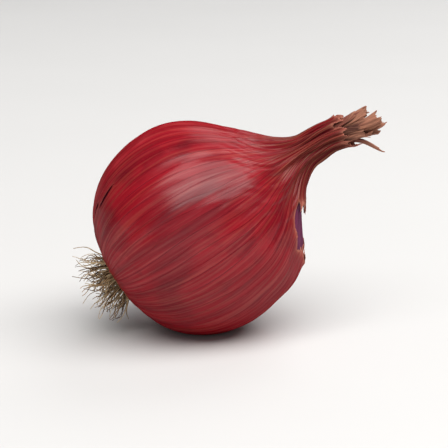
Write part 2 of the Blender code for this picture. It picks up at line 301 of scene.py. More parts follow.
SCALE_SHADER = {"Coat Roughness": 0.16, "Specular IOR Level": 0.0}
SCALE_BANDS = (3.0, 1.2, 2.0, 0.4)
SCALE_LINES = (26.0, 1.6, 2.0)
SCALE_STOPS = ((0.32, "plum"), (0.50, "magenta"), (0.68, "lilac"))
SCALE_LAYERS = (
    ("lines", 0.48, 0.70, 0.50, "lilac"),
    ("lines", 0.46, 0.34, 0.45, "plum"),
    ("along", 0.20, 0.10, 1.00, "root_end"),
)
SCALE_GLOSS = 0.5
SCALE_ROUGHNESS = 0.34
SCALE_ROUGHER = 0.14
SCALE_RELIEF_DEPTH = 0.00008

# Leaf ends: weights of ribs and each one's own shade in the tone, and of fibres and blotches in the relief.
DRY_SHADER = {"Specular IOR Level": 0.25}
LEAF_RIBS = (0.7, 1.2, 2.0)
LEAF_FIBRES = (1.8, 1.6, 3.0)
LEAF_BLOTCHES = (420.0, 3.0)
LEAF_TONE = (0.45, 0.55)
LEAF_STOPS = ((0.22, "brown"), (0.44, "russet"), (0.62, "russet"), (0.80, "straw"))
LEAF_LAYERS = (
    ("blotches", 0.50, 0.72, 0.50, "brown"),
    ("fibres", 0.52, 0.62, 0.50, "straw"),
    ("fibres", 0.48, 0.38, 0.80, "brown"),
)
LEAF_TIP_STRENGTH = 0.7
LEAF_ROUGHNESS = 0.62
LEAF_ROUGHER = 0.20
LEAF_RELIEF = (0.7, 0.3)
LEAF_RELIEF_DEPTH = 0.00022

# Roots: weights of each one's own shade and earth in the tone, and of grain and earth in the relief.
ROOT_EARTH = (520.0, 4.0, 0.5)
ROOT_GRAIN = (2600.0, 2.0)
ROOT_TONE = (0.6, 0.4)
ROOT_STOPS = ((0.25, "earth"), (0.50, "tan"), (0.75, "pale"))
ROOT_LAYERS = (("earth", 0.52, 0.70, 0.50, "earth"),)
ROOT_ROUGHNESS = 0.75
ROOT_ROUGHER = 0.15
ROOT_RELIEF = (0.5, 0.5)
PLATE_RELIEF_DEPTH = 0.0004
ROOTLET_RELIEF_DEPTH = 0.00012

FLOOR_SHADER = {"Specular IOR Level": 0.2}
FLOOR_CLOUD = (9.0, 2.0)
FLOOR_SHADED = 0.97
FLOOR_ROUGHNESS = 0.6
FLOOR_RELIEF_DEPTH = 0.0001

# The stage. Lights are name, place, width, height, power in watts, and colour.
HEART = Vector((0.006, 0.0, 0.029))
LIGHTS = (
    ("key", (0.42, -0.77, 2.12), 5.0, 2.1, 124.0, (1.0, 0.98, 0.96)),
    ("fill", (-0.30, -2.10, 0.50), 3.6, 2.4, 9.0, (0.97, 0.98, 1.0)),
    ("back", (0.75, 1.80, 1.50), 1.5, 1.5, 14.0, (1.0, 1.0, 1.0)),
)
FLOOR_SIZE = 6.0
ROOM_COLOUR = (0.93, 0.94, 0.96, 1.0)
ROOM_LIGHT = 0.16


def fade(value, start, full):
    """0 up to start, 1 from full on, and smooth between them."""
    share = np.clip((value - start) / (full - start), 0.0, 1.0)
    return share * share * (3 - 2 * share)


class Outline:
    """The skin's outline, read by climb: the way along it from the middle of the root end to the mouth."""

    STEPS = 48

    def __init__(self):
        dimple = Vector((0.0, ROOT_END + DIMPLE_DEPTH))
        rim = Vector((ROOT_RIM_RADIUS, ROOT_END))
        widest = Vector((BULB_RADIUS, 0.0))
        shoulder = Vector((SHOULDER_RADIUS, SHOULDER))
        waist = Vector((WAIST_RADIUS, WAIST))
        mouth = Vector((MOUTH_RADIUS, MOUTH))
        arcs = (
            (dimple, dimple + DIMPLE_HANDLE, rim - RIM_HANDLES[1], rim),
            (rim, rim + RIM_HANDLES[0], widest - WIDEST_HANDLES[1], widest),
            (widest, widest + WIDEST_HANDLES[0], shoulder - SHOULDER_HANDLES[1] * SHOULDER_SLOPE, shoulder),
            (shoulder, shoulder + SHOULDER_HANDLES[0] * SHOULDER_SLOPE, waist + WAIST_HANDLES[1], waist),
            (waist, waist + WAIST_HANDLES[0], mouth - MOUTH_HANDLE, mouth),
        )
        points = [interpolate_bezier(*arc, self.STEPS)[:-1] for arc in arcs]
        line = np.array([point[:2] for arc in points for point in arc] + [mouth[:]])
        steps = np.hypot(*np.diff(line, axis=0).T)
        self.climbs = np.concatenate(([0.0], np.cumsum(steps)))
        self.radii, self.heights = line.T
        along = np.gradient(line, self.climbs, axis=0)
        along /= np.linalg.norm(along, axis=1)[:, None]
        self.out_radii, self.out_heights = along[:, 1], -along[:, 0]
        self.length = float(self.climbs[-1])
        self.sheet_length = self.length + PAST_MOUTH

    def climb_of_height(self, height):
        """The climb of a height on the outer side, from the rim of the root end up."""
        outer = self.climbs > self.climbs[self.STEPS]
        return np.interp(height, self.heights[outer], self.climbs[outer])

    def at(self, climb, out):
        """Radius and height at this climb, moved out from the skin. Past the mouth it draws in a little."""
        past = np.maximum(climb - self.length, 0.0)
        radius = np.interp(climb, self.climbs, self.radii) - PAST_MOUTH_TAPER * past
        height = np.interp(climb, self.climbs, self.heights) + past
        radius = radius + out * np.interp(climb, self.climbs, self.out_radii)
        height = height + out * np.interp(climb, self.climbs, self.out_heights)
        return radius, height


OUTLINE = Outline()


def grown(x, y, z, pleat_depth):
    """Gives points of the straight, round onion the lobes, pleats and lean of the grown one."""
    turn = np.arctan2(y, x)
    lobes = sum(size * np.cos(count * (turn - at)) for count, size, at in BULB_LOBES)
    twisted = turn - NECK_TWIST * fade(z, SHOULDER, MOUTH)
    ripple = sum(size * np.cos(count * twisted + at) for count, size, at in PLEATS)
    neck = fade(z, SHOULDER, WAIST)
    facing = (1 + np.cos(turn - CHEEK_TURN)) / 2
    cheek = CHEEK_SWELL * facing**2 * fade(z, *CHEEK_RISE) * (1 - fade(z, *CHEEK_FALL))
    swell = 1 + lobes * (1 - neck) + cheek + pleat_depth * ripple * neck
    bend = fade(z, NECK_BEND, NECK_TIP)
    lean = (NECK_LEAN + NECK_DROOP) * bend - NECK_LEAN * neck
    return np.stack(
        (
            x * swell * (1 + (NECK_WIDE - 1) * neck) + lean,
            y * swell * (1 + (NECK_NARROW - 1) * neck) + NECK_SIDESTEP * bend,
            z,
        ),
        axis=-1,
    )


def tilted(points):
    """Points on the onion's own axis, in the row frame."""
    lean = math.pi / 2 - AXIS_RISE
    turned = np.array(
        (
            (math.cos(lean), 0.0, math.sin(lean)),
            (0.0, 1.0, 0.0),
            (-math.sin(lean), 0.0, math.cos(lean)),
        )
    )
    return points @ turned.T + BULB_CENTRE


def on_onion(turn, climb, out, floor, pleat_depth):
    """Points of the row frame at this turn and climb, this far out from the skin, and none below floor."""
    radius, height = OUTLINE.at(climb, out)
    points = tilted(grown(radius * np.cos(turn), radius * np.sin(turn), height, pleat_depth))
    points[:, 2] = np.maximum(points[:, 2], floor)
    return points


def zigzag(values, spacing, chance):
    """A jagged line over values: random heights from -1 to 1 at knots about spacing apart."""
    stray = 0.4
    low, high = float(np.min(values)), float(np.max(values))
    count = max(3, round((high - low) / spacing))
    knots = np.linspace(low, high, count) + chance.uniform(-stray, stray, count) * spacing
    return np.interp(values, np.sort(knots), chance.uniform(-1, 1, count))


def jagged(values, jags, chance):
    """The sum of jagged lines over values, each with its own spacing and size."""
    return sum(size * zigzag(values, spacing, chance) for spacing, size in jags)


# Mesh tools


def only(obj):
    """Leaves obj alone selected and active."""
    bpy.ops.object.select_all(action="DESELECT")
    obj.select_set(True)
    bpy.context.view_layer.objects.active = obj


def coordinates(obj):
    """The places of a mesh's vertices, as rows of an array."""
    found = np.empty(len(obj.data.vertices) * 3)
    obj.data.vertices.foreach_get("co", found)
    return found.reshape(-1, 3)


def set_points(obj, points):
    """Moves a mesh's vertices to these points."""
    obj.data.vertices.foreach_set("co", points.astype(np.float32).ravel())
    obj.data.update()


def add_sheet(name, columns, rows):
    """A flat grid from -0.5 to 0.5 both ways. Its UV map keeps that place when the sheet is wrapped round."""
    bpy.ops.object.select_all(action="DESELECT")
    bpy.ops.mesh.primitive_grid_add(x_subdivisions=columns, y_subdivisions=rows, size=1)
    sheet = bpy.context.object
    sheet.name = sheet.data.name = name
    return sheet


def weld(obj, distance=1e-6):
    """Merges the doubles of a wrapped sheet, at its seam and poles. Its faces point outwards already."""
    only(obj)
    bpy.ops.object.mode_set(mode="EDIT")
    bpy.ops.mesh.select_all(action="SELECT")
    bpy.ops.mesh.remove_doubles(threshold=distance)
    bpy.ops.mesh.dissolve_degenerate(threshold=distance)
    bpy.ops.object.mode_set(mode="OBJECT")


def apply_modifier(obj, kind, **settings):
    """Gives obj a modifier with these settings, and makes its result the mesh."""
    only(obj)
    modifier = obj.modifiers.new(kind.lower(), kind)
    for setting, value in settings.items():
        setattr(modifier, setting, value)
    bpy.ops.object.modifier_apply(modifier=modifier.name)


def joined(name, objects):
    """One object of them all."""
    only(objects[0])
    for obj in objects:
        obj.select_set(True)
    bpy.ops.object.join()
    made = bpy.context.object
    made.name = made.data.name = name
    return made


def add_attribute(obj, name, values):
    """Gives each vertex a number that the piece's finish reads."""
    attribute = obj.data.attributes.new(name, "FLOAT", "POINT")
    attribute.data.foreach_set("value", np.asarray(values, np.float32))


def finish_piece(obj, material, slot, *nodes):
    """Shades the piece, gives it its finish, and lets it ride on the onion in place of the solid's nodes."""
    only(obj)
    bpy.ops.object.shade_smooth()
    obj.data.materials.clear()
    obj.data.materials.append(material)
    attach(obj, "root")
    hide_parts(*nodes)


# Shader maths


def maths(operation, swapped=False):
    """A method of Wire that adds a Math node, with the values the other way round if swapped."""

    def method(self, *others):
        values = (*others, self) if swapped else (self, *others)
        return self.finish.add("ShaderNodeMath", {"operation": operation}, *values)

    return method


class Wire:
    """One output in a material. Arithmetic on it adds Math nodes."""

    def __init__(self, finish, socket):
        self.finish = finish
        self.socket = socket

    __add__ = maths("ADD")
    __radd__ = maths("ADD", swapped=True)
    __sub__ = maths("SUBTRACT")
    __rsub__ = maths("SUBTRACT", swapped=True)
    __mul__ = maths("MULTIPLY")
    __rmul__ = maths("MULTIPLY", swapped=True)
    __abs__ = maths("ABSOLUTE")
    fraction = maths("FRACT")
    sine = maths("SINE")
    cosine = maths("COSINE")

    def between(self, low, high):
        """0 at low and below, 1 at high and above, and smooth between them."""
        settings = {"interpolation_type": "SMOOTHSTEP"}
        return self.finish.add("ShaderNodeMapRange", settings, self, low, high, 0.0, 1.0)


class Finish:
    """A material with a Principled shader, built up from expressions. Colours are names in the settings."""

    def __init__(self, name, settings, constants):
        self.settings = settings
        self.material = bpy.data.materials.new(name)
        self.material.use_nodes = True
        self.tree = self.material.node_tree
        self.shader = self.tree.nodes["Principled BSDF"]
        for socket, value in constants.items():
            self.shader.inputs[socket].default_value = value

    def add(self, kind, settings, *values, output=None, named=None):
        """A node of this kind, with its settings made first, then its sockets, in order and by name."""
        node = self.tree.nodes.new(kind)
        for setting, value in settings.items():
            if setting == "stops":
                self._set_stops(node.color_ramp, value)
            else:
                setattr(node, setting, value)
        inputs = [socket for socket in node.inputs if socket.enabled]
        for socket, value in zip(inputs, values):
            self._feed(socket, value)
        for name, value in (named or {}).items():
            self._feed(next(s for s in inputs if s.name == name), value)
        outputs = [socket for socket in node.outputs if socket.enabled]
        return Wire(self, next(s for s in outputs if output in (None, s.name)))

    def _feed(self, socket, value):
        if isinstance(value, Wire):
            self.tree.links.new(value.socket, socket)
        elif isinstance(value, str):
            socket.default_value = self._named(value)
        else:
            socket.default_value = value

    def _named(self, colour):
        return (*getattr(self.settings, colour), 1.0)

    def _set_stops(self, ramp, stops):
        while len(ramp.elements) < len(stops):
            ramp.elements.new(1.0)
        for element, (position, colour) in zip(ramp.elements, stops):
            element.position = position
            element.color = self._named(colour)

    def ramp(self, factor, stops):
        return self.add("ShaderNodeValToRGB", {"stops": stops}, factor, output="Color")

    def mix(self, factor, first, second):
        return self.add("ShaderNodeMix", {"data_type": "RGBA"}, factor, first, second)

    def layers(self, colour, noises, table):
        """The colour with a table's layers over it, each as strong as its noise is there."""
        for name, start, full, strength, over in table:
            colour = self.mix(noises[name].between(start, full) * strength, colour, over)
        return colour

    def vector(self, x, y, z):
        return self.add("ShaderNodeCombineXYZ", {}, x, y, z)

    def noise(self, where, scale, detail=2.0, distortion=0.0):
        settings = {"noise_dimensions": "3D"}
        sockets = {"Scale": scale, "Detail": detail, "Distortion": distortion}
        return self.add("ShaderNodeTexNoise", settings, where, output="Fac", named=sockets)

    def attribute(self, name):
        return self.add("ShaderNodeAttribute", {"attribute_name": name}, output="Fac")

    def slant(self):
        """0 where the surface faces the viewer, and 1 at its outline, for gloss that fades there."""
        return self.add("ShaderNodeLayerWeight", {}, named={"Blend": 0.5}, output="Facing")

    def in_space(self):
        """Places in the piece's own space."""
        return self.add("ShaderNodeTexCoord", {}, output="Object")

    def unroll(self):
        """Reads turn about the axis, as radians, and climb, as a share, from the piece's UV map."""
        where = self.add("ShaderNodeUVMap", {})
        around, self.along = (self.add("ShaderNodeSeparateXYZ", {}, where, output=axis) for axis in "XY")
        self.around = around * math.tau
        return self.around, self.along

    def streaks(self, across, lengthways, detail=2.0, distortion=0.0):
        """Noise drawn out along the climb, with no seam where the turn closes."""
        x, y = self.around.cosine() * across, self.around.sine() * across
        return self.noise(self.vector(x, y, self.along * lengthways), 1.0, detail, distortion)

    def lines(self, count, wander, width):
        """1 along the middles of this many lines round the onion, and 0 from this far off them."""
        across = (self.around * (count / math.tau) + wander).fraction()
        return 1 - abs(across - 0.5).between(0.0, width)

    def coat(self, weight):
        """A gloss over the colour that changes over the surface."""
        self._feed(self.shader.inputs["Coat Weight"], weight)

    def surface(self, colour, roughness, relief, depth):
        """Feeds the shader. relief is a height from 0 to 1, and depth is how high that is in metres."""
        sockets = {"Strength": 1.0, "Distance": depth, "Height": relief}
        bump = self.add("ShaderNodeBump", {}, named=sockets)
        self._feed(self.shader.inputs["Base Color"], colour)
        self._feed(self.shader.inputs["Roughness"], roughness)
        self._feed(self.shader.inputs["Normal"], bump)
        return self.material


def weighted(weights, *wires):
    """The sum of the wires, each by its weight."""
    return sum(wire * weight for weight, wire in zip(weights, wires))


def skin_finish(settings):
    """Dry papery skin: wine and crimson bands, fine veins from root to neck, and pale, worn torn edges."""
    finish = Finish("dry_skin", settings, SKIN_SHADER)
    around, along = finish.unroll()
    bands = finish.streaks(*SKIN_BANDS)
    streaks = finish.streaks(*SKIN_STREAKS)
    fibres = finish.streaks(*SKIN_FIBRES)
    crinkles = finish.streaks(*SKIN_CRINKLES)
    where = finish.in_space()
    blotches = finish.noise(where, *SKIN_BLOTCHES)
    cloud = finish.noise(where, *SKIN_CLOUD)
    mottle = finish.noise(where, *SKIN_MOTTLE)
    wander = finish.streaks(*VEIN_WANDER) * VEIN_WANDER_SIZE
    vein = finish.lines(settings.veins, wander, VEIN_WIDTH)
    hair = finish.lines(settings.veins * HAIRS_PER_VEIN, wander * HAIR_WANDER, HAIR_WIDTH)
    torn = finish.attribute("torn")
    dry = (along + streaks * NECK_DRIES_UNEVEN).between(*NECK_DRIES)
    noises = {"cloud": cloud, "streaks": streaks, "fibres": fibres, "mottle": mottle, "along": along}

    colour = finish.ramp(weighted(SKIN_TONE, bands, blotches), SKIN_STOPS)
    colour = finish.layers(colour, noises, SKIN_LAYERS)
    colour = finish.mix(hair * fibres.between(*HAIR_SHOWS) * HAIR_STRENGTH, colour, "vein")
    strength = VEIN_LEAST + streaks.between(*VEIN_SHOWS) * VEIN_MORE
    colour = finish.mix(vein * strength, colour, "vein")
    colour = finish.layers(colour, noises, SKIN_SPECKS)
    # Painted shade: the skin is mixed towards its deep colour in a band across the front of the bulb, below
    # the highlight.
    painted_shade = 1 - abs(around - SHADE_BAND_TURN).between(0.0, SHADE_BAND_HALF_TURN)
    painted_shade = painted_shade * streaks.between(*SHADE_BAND_SHOWS) * along.between(*SHADE_BAND_START) * along.between(*SHADE_BAND_END)
    colour = finish.mix(painted_shade, colour, "deep")
    colour = finish.mix(dry * NECK_DARKER, colour, "neck")
    colour = finish.mix(dry * fibres.between(*NECK_STRAWS) * NECK_STRAW, colour, "straw")
    colour = finish.mix(dry * streaks.between(*NECK_REDS) * NECK_RED, colour, "crimson")
    colour = finish.layers(colour, noises, ROOT_END_LAYERS)
    colour = finish.mix(torn * (EDGE_LEAST + fibres * EDGE_MORE), colour, "edge")

    roughness = SKIN_ROUGHNESS + weighted(SKIN_ROUGHER, bands, mottle, torn, along.between(*NECK_ROUGHENS))
    relief = weighted(SKIN_RELIEF, vein, fibres, crinkles, mottle)
    worn = dry * DRY_DULLER + torn * (1 - dry) * EDGE_DULLER
    sheen = (SHEEN_LEAST + fibres.between(*SHEEN_SHOWS) * SHEEN_MORE) * (1 - vein * VEIN_DULLER)
    finish.coat((1 - finish.slant()) * (1 - worn) * sheen)
    return finish.surface(colour, roughness, relief, SKIN_RELIEF_DEPTH)


def scale_finish(settings):
    """The fleshy scale bared by the tears: smooth, glossy and purple, with paler lines along it."""
    finish = Finish("inner_scale", settings, SCALE_SHADER)
    along = finish.unroll()[1]
    bands = finish.streaks(*SCALE_BANDS)
    lines = finish.streaks(*SCALE_LINES)
    colour = finish.layers(finish.ramp(bands, SCALE_STOPS), {"lines": lines, "along": along}, SCALE_LAYERS)
    finish.coat((1 - finish.slant()) * SCALE_GLOSS)
    roughness = SCALE_ROUGHNESS + lines * SCALE_ROUGHER
    return finish.surface(colour, roughness, lines, SCALE_RELIEF_DEPTH)


def leaf_finish(settings):
    """Dried leaf ends: red-brown and straw-coloured strips, ribbed along them, with pale torn tips."""
    finish = Finish("dried_leaf", settings, DRY_SHADER)
    finish.unroll()
    ribs = finish.streaks(*LEAF_RIBS)
    fibres = finish.streaks(*LEAF_FIBRES)
    blotches = finish.noise(finish.in_space(), *LEAF_BLOTCHES)
    colour = finish.ramp(weighted(LEAF_TONE, ribs, finish.attribute("shade")), LEAF_STOPS)
    colour = finish.layers(colour, {"blotches": blotches, "fibres": fibres}, LEAF_LAYERS)
    colour = finish.mix(finish.attribute("tip") * LEAF_TIP_STRENGTH, colour, "tip")
    relief = weighted(LEAF_RELIEF, fibres, blotches)
    return finish.surface(colour, LEAF_ROUGHNESS + ribs * LEAF_ROUGHER, relief, LEAF_RELIEF_DEPTH)


def root_finish(settings, name, relief_depth):
    """Dry roots and their corky plate: tan and fibrous, with darker, earthy patches."""
    finish = Finish(name, settings, DRY_SHADER)
    where = finish.in_space()
    earth = finish.noise(where, *ROOT_EARTH)
    grain = finish.noise(where, *ROOT_GRAIN)
    colour = finish.ramp(weighted(ROOT_TONE, finish.attribute("shade"), earth), ROOT_STOPS)
    colour = finish.layers(colour, {"earth": earth}, ROOT_LAYERS)
    relief = weighted(ROOT_RELIEF, grain, earth)
    return finish.surface(colour, ROOT_ROUGHNESS + grain * ROOT_ROUGHER, relief, relief_depth)


def floor_finish(settings):
    """A matt, pale floor, faintly cloudy."""
    finish = Finish("floor", settings, FLOOR_SHADER)
    cloud = finish.noise(finish.in_space(), *FLOOR_CLOUD)
    shaded = (*(FLOOR_SHADED * part for part in settings.floor), 1.0)
    return finish.surface(finish.mix(cloud, "floor", shaded), FLOOR_ROUGHNESS, cloud, FLOOR_RELIEF_DEPTH)


# What a user would change


def colour_property(name, description, value):
    return FloatVectorProperty(
        name=name, description=description, default=value, subtype="COLOR", min=0.0, max=1.0, size=3
    )


def length_property(name, description, value):
    return FloatProperty(name=name, description=description, default=value, min=0.0, unit="LENGTH")


def count_property(name, description, value):
    return IntProperty(name=name, description=description, default=value, min=1)


class SkinSettings(bpy.types.PropertyGroup):
    columns: count_property("Columns", "Faces of the skin round the bulb", 420)
    rows: count_property("Rows", "Faces of the skin from root end to mouth", 226)
    thickness: length_property("Thickness", "How thick the dry skin is", 0.00014)
    lift: length_property("Lift", "How far torn edges curl up", 0.00050)
    reach: length_property("Reach", "How far from a tear the skin is lifted", 0.0022)
    pleats: FloatProperty(
        name="Pleats", description="Depth of the neck's pleats, as a share of its radius", default=0.100
    )
    veins: count_property("Veins", "Veins round the bulb", 68)
    # The deep colour also paints the band of shade across the front of the bulb.
    deep: colour_property("Deep", "Darkest bands of the skin", (0.112, 0.002, 0.007))
    crimson: colour_property("Crimson", "Main colour of the skin", (0.245, 0.004, 0.011))
    rose: colour_property("Rose", "Palest bands of the skin", (0.360, 0.026, 0.033))
    copper: colour_property("Copper", "Thin fibres in the skin", (0.380, 0.070, 0.036))
    vein: colour_property("Vein", "Veins from root to neck", (0.110, 0.004, 0.012))
    neck: colour_property("Neck", "Skin round the neck", (0.095, 0.008, 0.011))
    straw: colour_property("Straw", "Dry strips by the neck and root", (0.230, 0.092, 0.050))
    edge: colour_property("Edge", "Torn edges", (0.480, 0.190, 0.130))


class ScaleSettings(bpy.types.PropertyGroup):
    columns: count_property("Columns", "Faces of the scale round the bulb", 180)
    rows: count_property("Rows", "Faces of the scale from root end to neck", 120)
    depth: length_property("Depth", "How far the scale lies under the skin", 0.00036)
    plum: colour_property("Plum", "Darkest bands of the scale", (0.050, 0.003, 0.020))
    magenta: colour_property("Magenta", "Main colour of the scale", (0.112, 0.006, 0.046))
    lilac: colour_property("Lilac", "Palest lines of the scale", (0.170, 0.026, 0.090))
    root_end: colour_property("Root end", "Scale by the root plate", (0.200, 0.110, 0.060))


class LeafSettings(bpy.types.PropertyGroup):
    count: count_property("Leaf ends", "Dried leaf ends in the neck", 20)
    thickness: length_property("Thickness", "How thick a leaf end is", 0.00016)
    brown: colour_property("Brown", "Darkest parts of the leaf ends", (0.038, 0.007, 0.006))
    russet: colour_property("Russet", "Main colour of the leaf ends", (0.125, 0.014, 0.013))
    straw: colour_property("Straw", "Driest parts of the leaf ends", (0.240, 0.095, 0.050))
    tip: colour_property("Tip", "Torn tips of the leaf ends", (0.400, 0.180, 0.110))


class RootSettings(bpy.types.PropertyGroup):
    count: count_property("Rootlets", "Rootlets on the plate", 170)
    thickness: length_property("Thickness", "How thick a rootlet is at its foot", 0.00042)
    plate_radius: length_property("Plate radius", "Radius of the corky plate", 0.0062)
    earth: colour_property("Earth", "Dark patches of the roots", (0.085, 0.048, 0.026))
    tan: colour_property("Tan", "Main colour of the roots", (0.330, 0.210, 0.105))
    pale: colour_property("Pale", "Palest rootlets", (0.560, 0.420, 0.250))


class StageSettings(bpy.types.PropertyGroup):
    lens: FloatProperty(name="Lens", description="Focal length of the camera", default=135.0)
    distance: length_property("Distance", "From the camera to the onion", 0.45)
    elevation: FloatProperty(
        name="Elevation", description="Of the camera above level", default=math.radians(13), subtype="ANGLE"
    )
    floor: colour_property("Floor", "Floor and backdrop", (0.60, 0.60, 0.597))


# The pieces


def turn_between(turn, middle):
    """The turn from middle, the shorter way round."""
    return (turn - middle + math.pi) % math.tau - math.pi


def closed_slits(turn, height):
    """Draws the straight-sided slits of the flat sheet together towards their ends."""
    for middle, level, half_turn, half_height in SLITS:
        away = turn_between(turn, middle)
        far = np.abs(height - level) / half_height
        opening = np.maximum(np.sqrt(np.clip(1 - far**2, 0, 1)), fade(far, 1.0, SLIT_PINCHED[1]))
        near = 1 - fade(np.abs(away), half_turn, SLIT_PINCHED[0] * half_turn)
        turn = turn - SLIT_PINCH * away * near * (1 - opening)
    return turn


def beside_slits(turn, height):
    """1 along the slits, whose edges are thin, dark and nearly flat, and 0 away from them."""
    beside = np.zeros(len(turn))
    for middle, level, half_turn, half_height in SLITS:
        away = np.abs(turn_between(turn, middle)) / half_turn
        far = np.abs(height - level) / half_height
        near = fade(away, SLIT_FLAT[0], SLIT_PINCHED[0]) * fade(far, SLIT_FLAT[1], SLIT_PINCHED[1])
        beside = np.maximum(beside, near)
    return beside


def torn_away(turn, height, climb, chance):
    """Which places of the flat sheet are missing: in its tears, past its ragged mouth and at the root."""
    missing = np.zeros(len(turn), bool)
    for middle, level, half_turn, half_height in SLITS:
        away = turn_between(turn, middle)
        missing |= (np.abs(away) < half_turn) & (np.abs(height - level) < half_height)
    for middle, level, half_turn, half_height, slant, jag in TEARS:
        away = turn_between(turn, middle)
        across = away / half_turn + jagged(height, TEAR_SIDE_JAGS, chance)
        reach = half_height * np.sqrt(np.clip(1 - across**2, 0, None))
        edge = level + slant * across
        upper = edge + reach + jag * jagged(turn, TEAR_JAGS, chance)
        lower = edge - reach + jag * jagged(turn, TEAR_JAGS, chance)
        missing |= (np.abs(across) < 1) & (height < upper) & (height > lower)
    mouth = OUTLINE.length + jagged(turn, MOUTH_JAGS, chance)
    start = SKIN_START + jagged(turn, START_JAGS, chance)
    return missing | (climb > mouth) | (climb < start)


def on_torn_edge(vertex):
    """True for a vertex of the flat sheet on an edge that stays open: not on the seam, which closes."""
    seam = 0.4999
    return vertex.is_boundary and abs(vertex.co.x) < seam


def tear_sheet(sheet, chance):
    """Deletes what is torn away from the flat sheet, and eases the stepped edges that this leaves."""
    only(sheet)
    bpy.ops.object.mode_set(mode="EDIT")
    bpy.ops.mesh.select_mode(type="FACE")
    bpy.ops.mesh.select_all(action="DESELECT")
    shape = bmesh.from_edit_mesh(sheet.data)
    middles = np.array([face.calc_center_median()[:] for face in shape.faces])
    turn = middles[:, 0] * math.tau
    climb = (middles[:, 1] + 0.5) * OUTLINE.sheet_length
    height = OUTLINE.at(climb, 0.0)[1]
    for face, gone in zip(shape.faces, torn_away(turn, height, climb, chance)):
        face.select_set(bool(gone))
    bmesh.update_edit_mesh(sheet.data)
    bpy.ops.mesh.delete(type="FACE")
    bpy.ops.mesh.select_mode(type="VERT")
    shape = bmesh.from_edit_mesh(sheet.data)
    for vertex in shape.verts:
        vertex.select_set(on_torn_edge(vertex))
    bmesh.update_edit_mesh(sheet.data)
    bpy.ops.mesh.vertices_smooth(factor=0.5, repeat=2, wait_for_input=False)
    bpy.ops.object.mode_set(mode="OBJECT")


def distance_from_tears(sheet, turn, climb):
    """How far each vertex of the sheet is from the nearest torn edge, measured on the skin."""
    shape = bmesh.new()
    shape.from_mesh(sheet.data)
    edge = np.array([on_torn_edge(vertex) for vertex in shape.verts])
    shape.free()
    if not edge.any():
        raise RuntimeError("the skin has no torn edge")
    radius, height = OUTLINE.at(climb, 0.0)
    on_skin = np.stack((radius * np.cos(turn), radius * np.sin(turn), height), axis=-1)
    tree = KDTree(int(edge.sum()))
    for index in np.flatnonzero(edge):
        tree.insert(on_skin[index], int(index))
    tree.balance()
    return np.array([tree.find(point)[2] for point in on_skin])


def noise_on_skin(turn, climb, across, lengthways):
    """Noise from -1 to 1, drawn out along the fibres, with no seam where the turn closes."""
    places = np.stack((across * np.cos(turn), across * np.sin(turn), lengthways * climb), axis=-1)
    return np.array([noise.noise(where) for where in places])


def skin_relief(turn, climb):
    """Ribs, creases and crinkles of the dry skin, as a height over its smooth form."""
    share = climb / OUTLINE.length
    body = np.sqrt(np.sin(math.pi * np.clip(share / BODY_END, 0, 1)))
    neck = fade(share, NECK_FROM, NECK_FULL)
    twisted = turn - NECK_TWIST * neck
    wrinkles = sum(
        size * np.abs(np.cos(count / 2 * twisted + at + drift * share)) - size / 2
        for count, size, at, drift in NECK_WRINKLES
    )
    ribs = sum(size * np.cos(count * turn + at + drift * share) for count, size, at, drift in RIBS)
    lumps = noise_on_skin(turn, climb, *LUMP_GRAIN)
    creases = 1 - 2 * np.abs(noise_on_skin(turn, climb, *CREASE_GRAIN))
    crinkles = noise_on_skin(turn, climb, *CRINKLE_GRAIN)
    ridges = noise_on_skin(turn, climb, *RIDGE_GRAIN)
    over_bulb = ribs + LUMP_HEIGHT * lumps + CREASE_HEIGHT * creases + RIDGE_HEIGHT * ridges
    return body * over_bulb + neck * wrinkles * (1 + lumps) + CRINKLE_HEIGHT * crinkles


class ONION_OT_skin(bpy.types.Operator):
    """Wrap the dry papery skin round the bulb and neck, with its tears"""

    bl_idname = "onion.skin"
    bl_label = "Dry skin"

    def execute(self, context):
        settings = context.scene.onion_skin
        chance = np.random.default_rng(SEED)
        sheet = add_sheet("dry_skin", settings.columns, settings.rows)
        tear_sheet(sheet, chance)
        flat = coordinates(sheet)
        climb = (flat[:, 1] + 0.5) * OUTLINE.sheet_length
        height = OUTLINE.at(climb, 0.0)[1]
        turn = closed_slits(flat[:, 0] * math.tau, height)
        flat_edges = beside_slits(turn, height)
        away = distance_from_tears(sheet, turn, climb)
        uneven = LIFT_MIDDLE + LIFT_UNEVEN * noise_on_skin(turn, climb, *LIFT_GRAIN)
        near = np.exp(-away / settings.reach) * (1 - SLIT_FLATTER * flat_edges)
        out = skin_relief(turn, climb) + settings.lift * uneven * near**LIFT_STEEPNESS
        set_points(sheet, on_onion(turn, climb, out, FLOOR_GAP, settings.pleats))
        add_attribute(sheet, "torn", np.exp(-away / TORN_EDGE) * (1 - SLIT_DARKER * flat_edges))
        weld(sheet)
        apply_modifier(sheet, "SOLIDIFY", thickness=settings.thickness, offset=-1.0, use_rim_only=True)
        finish_piece(sheet, skin_finish(settings), "dry_skin", "bulb")
        return {"FINISHED"}


class ONION_OT_scale(bpy.types.Operator):
    """Close the bulb with the fleshy scale that shows through the tears"""

    bl_idname = "onion.scale"
    bl_label = "Inner scale"

    def execute(self, context):
        settings = context.scene.onion_scale
        sheet = add_sheet("inner_scale", settings.columns, settings.rows)
        flat = coordinates(sheet)
        turn = flat[:, 0] * math.tau
        top = OUTLINE.climb_of_height(SCALE_TOP * WAIST)
        climb = (flat[:, 1] + 0.5) * top
        deeper = fade(climb / OUTLINE.length, CLEARANCE_FROM, CLEARANCE_FULL)
        out = -settings.depth - NECK_CLEARANCE * deeper
        points = on_onion(turn, climb, out, settings.depth, SCALE_PLEATS)
        pole = np.isclose(flat[:, 1], 0.5)
        points[pole] = points[pole].mean(axis=0)
        set_points(sheet, points)
        weld(sheet)
        finish_piece(sheet, scale_finish(settings), "dry_skin", "bulb")
        return {"FINISHED"}


